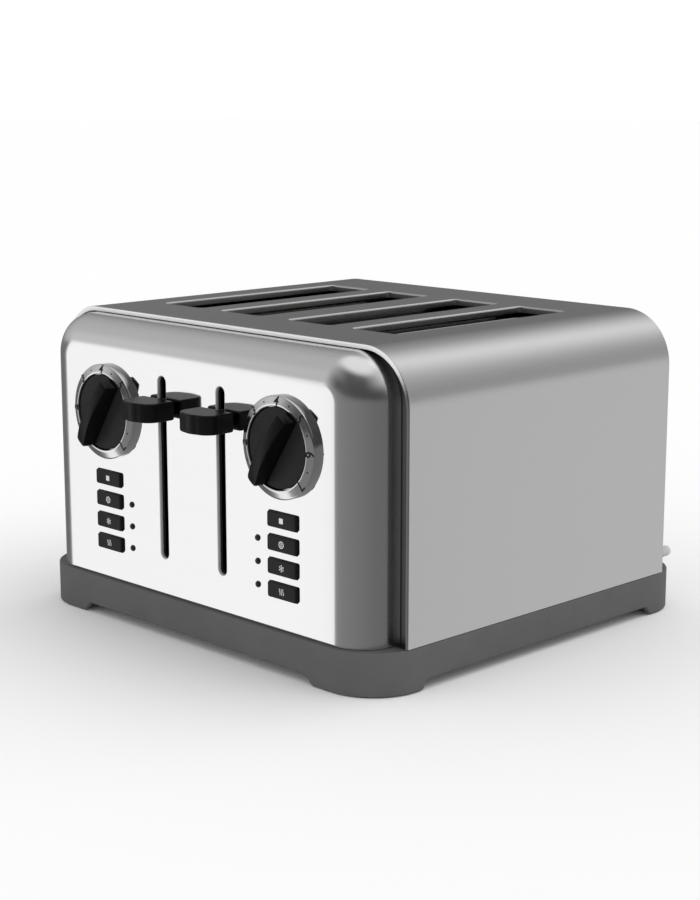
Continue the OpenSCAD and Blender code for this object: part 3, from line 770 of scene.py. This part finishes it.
def build_button(kind, s, tag):
    node = f"{kind}_button_{tag}"
    cx, cz = s * DX, BTN_Z[kind]
    yf = float(b[node][0][1])
    rings = []
    for o, d in ((0.62, 0.0), (0.36, 0.08), (0.14, 0.3), (0.02, 0.62), (0.0, 1.0), (0.0, 3.4)):
        rings.append([(x, yf + d, z) for x, z in rr(23 - 2 * o, 8.9 - 2 * o, 1.3 - o * 0.6, 6, cx, cz)])
    rings2 = [[(x, yf + d, z) for x, z in rr(26, 11.4, 1, 6, cx, cz)] for d in (3.1, 4.1)]
    v1, f1 = loft(rings)
    v2, f2 = loft(rings2)
    v3, f3 = lathe([(0, 0), (2, 0), (2, -6.3), (1.6, -6.6), (0, -6.6)], (cx, yf + 4.0, cz), "-Y", 24)
    v, f = join([(v1, f1), (v2, f2), (v3, f3)])
    o = make(f"{kind}_cap_{tag}", v, f, M["button"], 32)
    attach(o, node)
    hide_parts(node)
    v, f = pictogram(kind)
    top = [(cx + p[0], yf - 0.045, cz + p[1]) for p in v]
    low = [(cx + p[0], yf + 0.02, cz + p[1]) for p in v]
    n = len(v)
    faces = [tuple(q) for q in f] + [tuple(i + n for i in reversed(q)) for q in f]
    edges = {}
    for q in f:
        for i in range(len(q)):
            e = (q[i], q[(i + 1) % len(q)])
            key = tuple(sorted(e))
            edges[key] = None if key in edges else e
    faces += [(e[0], e[1], e[1] + n, e[0] + n) for e in edges.values() if e]
    p = make(f"{kind}_mark_{tag}", top + low, faces, M["white"], 30)
    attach(p, node)


def build_lamps():
    parts = []
    for s in (-1, 1):
        for z in LED_Z:
            prof = [(0, 0), (1.8, 0), (1.8, 13.9)]
            prof += [(1.8 * math.cos(math.radians(a)), 13.9 + 1.15 * math.sin(math.radians(a))) for a in (15, 30, 45, 60, 75)]
            prof += [(0, 15.05)]
            parts.append(lathe(prof, (s * LED_X, -121.6, z), "-Y", 28))
    v, f = join(parts)
    o = make("lamp_domes", v, f, M["lens"], 50)
    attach(o, "root")
    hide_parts("led_lenses")


# ------------------------------------------------------------------ base
BZ2 = 24.7


def corner_outline(x0, y0, w, d, r, n=14):
    """plan of one corner block, from (x0, y0) out to the rounded corner at (w, d)"""
    pts = [(x0, y0), (w, y0)]
    for k in range(n + 1):
        a = math.radians(90 * k / n)
        pts.append((w - r + r * math.cos(a), d - r + r * math.sin(a)))
    pts.append((x0, d))
    return pts


def build_base():
    R = 32.5
    z_floor, z_gap = 0.5, 5.9
    outline = []   # (x, y, outward normal x, y, lower z), a quarter from the middle of the front
    fx, gx = 101.3, 96.7
    fy, gy = 101.5, 97.0
    for x, z in ((0, z_gap), (45, z_gap), (gx - 1.2, z_gap), (gx + 0.3, z_gap - 0.5), (fx - 0.9, z_floor + 0.7), (fx - 0.2, z_floor + 0.15), (fx + 0.6, z_floor)):
        outline.append((x, -BY, 0, -1, z))
    q = BY - R
    ystops = [(fy + 0.6, z_floor), (fy - 0.2, z_floor + 0.15), (fy - 0.9, z_floor + 0.7), (gy + 0.3, z_gap - 0.5), (gy - 1.2, z_gap), (45, z_gap), (0, z_gap)]
    for k in range(0, 25):
        a = math.radians(-90 + 90 * k / 24)
        outline.append((BX - R + R * math.cos(a), -BY + R + R * math.sin(a), math.cos(a), math.sin(a), z_floor))
    for y, z in ystops:
        if y < q - 0.3:
            outline.append((BX, -y, 1, 0, z))
    quarter = outline[:]
    rear = [(x, -y, nx, -ny, z) for x, y, nx, ny, z in reversed(quarter[:-1])]
    right = quarter + rear
    left = [(-x, y, -nx, ny, z) for x, y, nx, ny, z in reversed(right[1:-1])]
    pts = right + left

    def ring(inset, zf):
        return [(x - nx * inset, y - ny * inset, zf(z)) for x, y, nx, ny, z in pts]
    rings = [
        ring(3.0, lambda z: z), ring(0.9, lambda z: z), ring(0.45, lambda z: z + 0.08), ring(0.12, lambda z: z + 0.34), ring(0.0, lambda z: z + 0.8),
        ring(0.0, lambda z: 9.0), ring(0.0, lambda z: 16.0), ring(0.0, lambda z: BZ2 - 0.9), ring(0.08, lambda z: BZ2 - 0.5), ring(0.28, lambda z: BZ2 - 0.2), ring(0.5, lambda z: BZ2 - 0.06), ring(0.9, lambda z: BZ2),
        ring(15.0, lambda z: BZ2), ring(15.0, lambda z: BZ2 - 2.5), ring(3.0, lambda z: BZ2 - 2.5), ring(3.0, lambda z: 12.0),
    ]
    v, f = loft(rings, True, False, False)
    n = len(pts)
    f += [((len(rings) - 1) * n + k, (len(rings) - 1) * n + (k + 1) % n, (k + 1) % n, k) for k in range(n)]
    ob = make("base_moulding", v, f, M["base"], 40)
    boolean(ob, [prism_y([(-107, 9.2), (107, 9.2), (107, 21.4), (-107, 21.4)], BY - 8, BY + 3)])
    finish_mesh(ob, M["base"], 40)
    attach(ob, "root")
    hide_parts("base_skirt")
    # recessed ledge that the shells stand on
    hwl, wyl, pw, pd, pr = HW - 0.6, WY - 1, 136.0, 134.6, 20.5
    quart = [(pw - pr + pr * math.sin(math.radians(90 * k / 12)), pd - pr + pr * math.cos(math.radians(90 * k / 12))) for k in range(13)]
    quart += [(pw, wyl), (hwl, wyl)]
    full = quart + [(x, -y) for x, y in reversed(quart)] + [(-x, -y) for x, y in quart] + [(-x, y) for x, y in reversed(quart)]
    inner = [(x * 0.93, y * 0.93) for x, y in full]
    rg = [[(x, y, z) for x, y in o] for o, z in ((full, BZ2 - 0.1), (full, SHZ), (inner, SHZ), (inner, BZ2 - 0.1))]
    v, f = loft(rg, True, False, False)
    m = len(full)
    f += [(3 * m + k, 3 * m + (k + 1) % m, (k + 1) % m, k) for k in range(m)]
    # the ledge takes the black foot rubber: painted shade for the dark gap between base and shells
    led = make("base_ledge", v, f, M["rubber"], 30)
    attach(led, "root")
    # soles of the feet, screw posts and lugs
    parts = []
    for sx in (-1, 1):
        for sy in (-1, 1):
            o = corner_outline(103, 103, BX - 0.5, BY - 0.5, 32)
            ring0 = [(sx * x, sy * y, 0.5) for x, y in o]
            ring1 = [(sx * x, sy * y, 4.0) for x, y in o]
            parts.append(loft([ring0, ring1]))
            parts.append(lathe([(1.6, 1.5), (5, 1.5), (5, 23.9), (1.6, 23.9)], (sx * 114, sy * 110, 0), "+Z", 32))
            x0, x1 = 125, BX - 2
            y0, y1 = sy * 60 - 7, sy * 60 + 7
            parts.append(loft([[(sx * x, y, z) for x, y in ((x0, y0), (x1, y0), (x1, y1), (x0, y1))] for z in (9.2, 13.2)]))
    v, f = join(parts)
    feet = make("base_feet", v, f, M["base"], 30)
    cut = []
    for sx in (-1, 1):
        for sy in (-1, 1):
            for cx, cy, r, za, zb in ((129, 118, 7.3, -1, 1.7), (129, 118, 3.1, -0.9, 6), (114, 110, 3.6, -1, 2.5)):
                cut.append(prism_z([(sx * cx + r * math.cos(2 * math.pi * k / 40), sy * cy + r * math.sin(2 * math.pi * k / 40)) for k in range(40)], za, zb))
    boolean(feet, cut)
    finish_mesh(feet, M["base"], 30)
    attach(feet, "root")
    return ob


# ------------------------------------------------------------------ cord bush
def build_gland():
    g = b["cord_gland"]
    gx = (g[0][0] + g[1][0]) / 2
    gz = 28.7
    tip = float(g[1][1])
    prof = [(2.4, -(tip - 125.3)), (3.2, -(tip - 125.3)), (3.2, -11.2), (3.9, -11.15), (3.9, -9.9), (3.75, -9.6), (3.5, -9.2)]
    y = -9.0
    while y < -2.2:      # shallow grip rings
        prof += [(3.5 - (y + 9) * 0.03, y), (3.22 - (y + 9) * 0.02, y + 0.25), (3.22 - (y + 9) * 0.02, y + 0.75), (3.5 - (y + 10) * 0.03, y + 1.0)]
        y += 1.7
    prof += [(3.25, -0.9), (3.2, -0.5), (3.05, -0.15), (2.8, 0.0), (2.55, -0.02), (2.4, -0.15)]
    seg = 48
    rings = [[(gx + r * math.cos(2 * math.pi * k / seg), tip + h, gz + r * math.sin(2 * math.pi * k / seg)) for k in range(seg)] for r, h in prof]
    v, f = loft(rings, True, False, False)
    f += [((len(rings) - 1) * seg + k, (len(rings) - 1) * seg + (k + 1) % seg, (k + 1) % seg, k) for k in range(seg)]
    o = make("cord_bush", v, f, M["gland"], 40)
    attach(o, "root")
    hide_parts("cord_gland")


# ------------------------------------------------------------------ coiled springs in place of the lift springs
def build_spring(s, tag):
    lo, hi = b[f"lift_spring_{tag}"]
    cx, cy = (lo[0] + hi[0]) / 2, (lo[1] + hi[1]) / 2
    z0, z1 = lo[2] + 0.5, hi[2] - 0.5
    turns, per, m, R, r = 22, 18, 8, 3.6, 0.45
    rings = []
    for i in range(turns * per + 1):
        a = 2 * math.pi * i / per
        ring = []
        for k in range(m):
            c = 2 * math.pi * k / m
            rad = R + r * math.cos(c)
            ring.append((cx + rad * math.cos(a), cy + rad * math.sin(a), z0 + (z1 - z0) * i / (turns * per) + r * math.sin(c)))
        rings.append(ring)
    v, f = loft(rings)
    o = make(f"spring_coil_{tag}", v, f, M["spring"], 60)
    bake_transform(o)
    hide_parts(f"lift_spring_{tag}")


build_wrap()
build_front()
build_rear()
for sgn, tag in ((-1, "left"), (1, "right")):
    build_dial(sgn, tag)
    build_lever(sgn, tag)
    for kind in BTN_Z:
        build_button(kind, sgn, tag)
    build_spring(sgn, tag)
build_lamps()
build_base()
build_gland()

# ------------------------------------------------------------------ stage and light
def stage_plane(name, size, z, mat):
    me = bpy.data.meshes.new(name)
    s = size
    me.from_pydata([(-s, -s, z), (s, -s, z), (s, s, z), (-s, s, z)], [], [(0, 1, 2, 3)])
    ob = bpy.data.objects.new(name, me)
    scene.collection.objects.link(ob)
    me.materials.append(mat)
    return ob


floor_mat, nt, bs = new_mat("floor_white", (0.95, 0.95, 0.95), 0.85, spec=0.0)
floor = stage_plane("floor", 12, 0.0, floor_mat)
floor.visible_glossy = False

# the room: an even pale surround for light, and a separate softbox pattern that only reflections see
world = bpy.data.worlds.new("world")
scene.world = world
world.use_nodes = True
nt = world.node_tree
nt.nodes.clear()
W = nt.nodes.new
L = nt.links.new
tc = W("ShaderNodeTexCoord")
sep = W("ShaderNodeSeparateXYZ")
L(tc.outputs["Generated"], sep.inputs[0])


def math_node(op, a, c, clamp=False):
    n = W("ShaderNodeMath")
    n.operation = op
    n.use_clamp = clamp
    for k, v in enumerate((a, c)):
        if isinstance(v, (int, float)):
            n.inputs[k].default_value = v
        else:
            L(v, n.inputs[k])
    return n.outputs[0]


def value_ramp(fac, stops):
    cr = W("ShaderNodeValToRGB")
    el = cr.color_ramp.elements
    el[0].position, el[0].color = stops[0][0], (stops[0][1],) * 3 + (1,)
    el[1].position, el[1].color = stops[-1][0], (stops[-1][1],) * 3 + (1,)
    for p, c in stops[1:-1]:
        e = el.new(p)
        e.color = (c, c, c, 1)
    L(fac, cr.inputs["Fac"])
    return cr.outputs["Color"]


def blend_val(fac, a, c):
    m = W("ShaderNodeMix")
    m.data_type = "RGBA"
    L(fac, m.inputs[0])
    L(a, m.inputs[6])
    L(c, m.inputs[7])
    return m.outputs[2]


def smooth(v, a, c):
    m = W("ShaderNodeMapRange")
    m.interpolation_type = "SMOOTHSTEP"
    m.inputs["From Min"].default_value = a
    m.inputs["From Max"].default_value = c
    L(v, m.inputs["Value"])
    return m.outputs["Result"]


azim = math_node("ARCTAN2", sep.outputs["Y"], sep.outputs["X"])
turn = math_node("ADD", math_node("DIVIDE", azim, 2 * math.pi), 0.5)
# turn: 0 = -X, 0.125 = front left, 0.25 = front, 0.375 = front right, 0.5 = +X, 0.625 = rear right, 0.75 = rear
low = value_ramp(turn, [(0.0, 0.14), (0.045, 0.12), (0.062, 0.15), (0.078, 0.35), (0.09, 0.95), (0.1235, 0.97), (0.130, 0.38), (0.140, 0.27), (0.157, 0.21),
                        (0.226, 0.19), (0.376, 0.16), (0.45, 0.14), (0.572, 0.13), (0.592, 0.45), (0.61, 0.68), (0.66, 0.70), (0.72, 0.6), (0.8, 0.4), (0.9, 0.2), (1.0, 0.14)])
mid = value_ramp(turn, [(0.0, 0.40), (0.06, 0.45), (0.10, 0.58), (0.13, 0.45), (0.15, 0.2), (0.18, 0.07), (0.30, 0.045), (0.50, 0.05), (0.56, 0.07), (0.60, 0.2),
                        (0.63, 0.42), (0.70, 0.45), (0.75, 0.3), (0.82, 0.16), (0.88, 0.135), (0.95, 0.25), (1.0, 0.40)])
high = value_ramp(turn, [(0.0, 0.40), (0.05, 0.42), (0.10, 0.42), (0.16, 0.25), (0.25, 0.06), (0.40, 0.06), (0.5, 0.25), (0.6, 0.5), (0.66, 0.55), (0.70, 0.9),
                         (0.735, 1.1), (0.775, 0.8), (0.82, 0.42), (0.88, 0.28), (0.95, 0.35), (1.0, 0.40)])
zenith = W("ShaderNodeRGB")
zenith.outputs[0].default_value = (0.75, 0.75, 0.75, 1)
sky = blend_val(smooth(sep.outputs["Z"], 0.25, 0.62), mid, high)
sky = blend_val(smooth(sep.outputs["Z"], 0.76, 0.93), sky, zenith.outputs[0])
pattern = blend_val(smooth(sep.outputs["Z"], -0.03, 0.10), low, sky)
bg_gloss = W("ShaderNodeBackground")
L(pattern, bg_gloss.inputs["Color"])
lean = math_node("ADD", math_node("MULTIPLY", sep.outputs["X"], -0.40), math_node("MULTIPLY", sep.outputs["Y"], -0.20))
bg_soft = W("ShaderNodeBackground")
bg_soft.inputs["Color"].default_value = (1, 1, 1, 1)
L(math_node("MULTIPLY", math_node("ADD", lean, 1.0), 0.76), bg_soft.inputs["Strength"])
bg_cam = W("ShaderNodeBackground")
bg_cam.inputs["Color"].default_value = (1, 1, 1, 1)
bg_cam.inputs["Strength"].default_value = 1.1
lp = W("ShaderNodeLightPath")
mx = W("ShaderNodeMixShader")
L(lp.outputs["Is Glossy Ray"], mx.inputs[0])
L(bg_soft.outputs[0], mx.inputs[1])
L(bg_gloss.outputs[0], mx.inputs[2])
mx2 = W("ShaderNodeMixShader")
L(lp.outputs["Is Camera Ray"], mx2.inputs[0])
L(mx.outputs[0], mx2.inputs[1])
L(bg_cam.outputs[0], mx2.inputs[2])
wo = W("ShaderNodeOutputWorld")
L(mx2.outputs[0], wo.inputs["Surface"])


def area(name, loc, target, size, power, glossy=True):
    d = bpy.data.lights.new(name, "AREA")
    d.shape = "RECTANGLE"
    d.size, d.size_y = size
    d.energy = power
    o = bpy.data.objects.new(name, d)
    scene.collection.objects.link(o)
    o.location = loc
    o.rotation_euler = (Vector(target) - Vector(loc)).to_track_quat("-Z", "Y").to_euler()
    o.visible_glossy = glossy
    return o


sun = bpy.data.objects.new("rear_soft", bpy.data.lights.new("rear_soft", "SUN"))
sun.data.energy = 1.15
sun.data.angle = math.radians(70)
sun.location = (1.2, 1.3, 2.2)
sun.rotation_euler = (Vector((0, 0, 0)) - Vector(sun.location)).to_track_quat("-Z", "Y").to_euler()
sun.visible_glossy = False
scene.collection.objects.link(sun)
